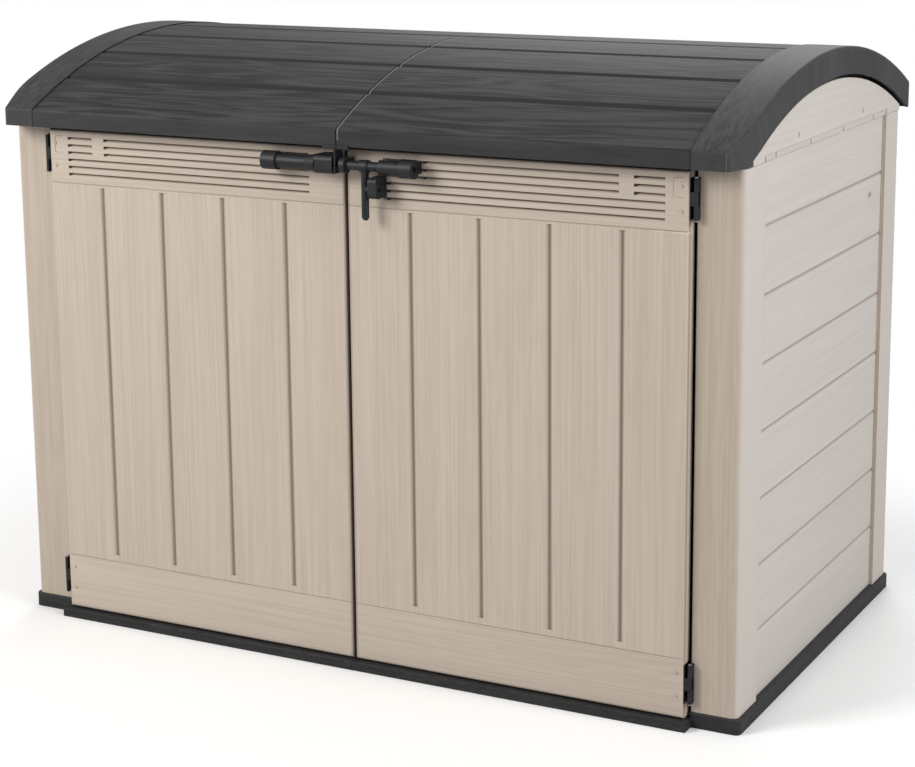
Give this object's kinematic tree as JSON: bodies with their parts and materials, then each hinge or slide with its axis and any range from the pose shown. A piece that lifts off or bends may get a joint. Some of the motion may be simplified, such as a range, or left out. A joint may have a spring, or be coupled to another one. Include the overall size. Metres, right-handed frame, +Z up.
{
  "type": "deck storage box",
  "caption": "Garden deck box with an arched hinged lid on gas struts, two planked front doors and a sliding bolt that locks lid and doors.",
  "frame": {"origin": "on the ground, in the middle of the box's outline", "axes": "+X to the right of someone who faces the doors, +Y to the back, +Z up"},
  "size_m": [1.77, 1.143, 1.34],
  "materials": {
    "walls": "satin moulded resin with a fine wood grain",
    "doors": "satin moulded resin with a fine wood grain",
    "lid": "dark grey satin moulded resin with a wood grain",
    "floor": "dark grey matte moulded resin",
    "latch": "black satin moulded resin",
    "hinge_plastic": "black matte moulded resin",
    "pins": "zinc plated steel",
    "strut_tube": "black painted steel tube",
    "strut_steel": "polished steel rod"
  },
  "bodies": {
    "carcass": {"floor_panel_right": "floor", "floor_panel_left": "floor", "floor_joiner": "floor", "front_post_right": "walls", "front_post_left": "walls", "rear_post_right": "walls", "rear_post_left": "walls", "side_wall_right": "walls", "side_wall_left": "walls", "gable_right": "walls", "gable_left": "walls", "back_wall_right": "walls", "back_wall_left": "walls", "back_rail": "walls", "back_joiner": "walls", "rail_screws_right": "pins", "rail_screws_left": "pins", "door_hinge_brackets_right": "hinge_plastic", "door_hinge_brackets_left": "hinge_plastic", "door_hinge_pins_right": "pins", "door_hinge_pins_left": "pins", "lid_hinge_brackets": "hinge_plastic", "lid_hinge_pins": "pins", "strut_foot_right": "hinge_plastic", "strut_foot_left": "hinge_plastic"},
    "lid": {"lid_panel_right": "lid", "lid_panel_left": "lid", "lid_cap_right": "lid", "lid_cap_left": "lid", "lid_ribs_right": "lid", "lid_ribs_left": "lid", "lid_seam_strip": "lid", "lid_hinge_leaves": "hinge_plastic", "strut_head_right": "hinge_plastic", "strut_head_left": "hinge_plastic", "lid_catch": "latch"},
    "right_door": {"door_panel_right": "doors", "door_hinge_leaves_right": "hinge_plastic", "door_hinge_screws_right": "pins", "bolt_housing": "latch", "bolt_guide": "latch", "padlock_lug": "latch", "latch_screws_right": "pins"},
    "left_door": {"door_panel_left": "doors", "door_hinge_leaves_left": "hinge_plastic", "door_hinge_screws_left": "pins", "bolt_keeper": "latch", "door_grip": "latch", "latch_screws_left": "pins"},
    "bolt": {"bolt_rod": "latch"},
    "lever": {"bolt_lever": "latch"},
    "strut_cylinder_right": {"strut_cylinder_right": "strut_tube"},
    "strut_cylinder_left": {"strut_cylinder_left": "strut_tube"},
    "strut_rod_right": {"strut_rod_right": "strut_steel"},
    "strut_rod_left": {"strut_rod_left": "strut_steel"}
  },
  "joints": [
    {"name": "lid_hinge", "type": "hinge", "parent": "carcass", "child": "lid", "pos_m": [0, 0.525, 1.15], "axis": [-1, 0, 0], "range_deg": [0, 62]},
    {"name": "right_door_hinge", "type": "hinge", "parent": "carcass", "child": "right_door", "pos_m": [0.7805, -0.52, 0.6], "axis": [0, 0, 1], "range_deg": [0, 115]},
    {"name": "left_door_hinge", "type": "hinge", "parent": "carcass", "child": "left_door", "pos_m": [-0.7805, -0.52, 0.6], "axis": [0, 0, -1], "range_deg": [0, 115]},
    {"name": "bolt_slide", "type": "slide", "parent": "right_door", "child": "bolt", "axis": [1, 0, 0], "range_m": [-0.03, 0]},
    {"name": "lever_turn", "type": "hinge", "parent": "bolt", "child": "lever", "pos_m": [0.064, -0.558, 1.118], "axis": [-1, 0, 0], "range_deg": [0, 100]},
    {"name": "strut_lean_right", "type": "hinge", "parent": "carcass", "child": "strut_cylinder_right", "pos_m": [0.83, 0.36, 0.935], "axis": [-1, 0, 0], "range_deg": [0, 13.7]},
    {"name": "strut_stroke_right", "type": "slide", "parent": "strut_cylinder_right", "child": "strut_rod_right", "axis": [0, 0.2169, 0.9762], "range_m": [0, 0.09525]},
    {"name": "strut_lean_left", "type": "hinge", "parent": "carcass", "child": "strut_cylinder_left", "pos_m": [-0.83, 0.36, 0.935], "axis": [-1, 0, 0], "range_deg": [0, 13.7]},
    {"name": "strut_stroke_left", "type": "slide", "parent": "strut_cylinder_left", "child": "strut_rod_left", "axis": [0, 0.2169, 0.9762], "range_m": [0, 0.09525]}
  ],
  "couplings": [
    {"joint": "strut_lean_right", "follows": "lid_hinge", "ratio": 0.22084},
    {"joint": "strut_stroke_right", "follows": "lid_hinge", "m_per_rad": 0.087978},
    {"joint": "strut_lean_left", "follows": "lid_hinge", "ratio": 0.22084},
    {"joint": "strut_stroke_left", "follows": "lid_hinge", "m_per_rad": 0.087978}
  ]
}
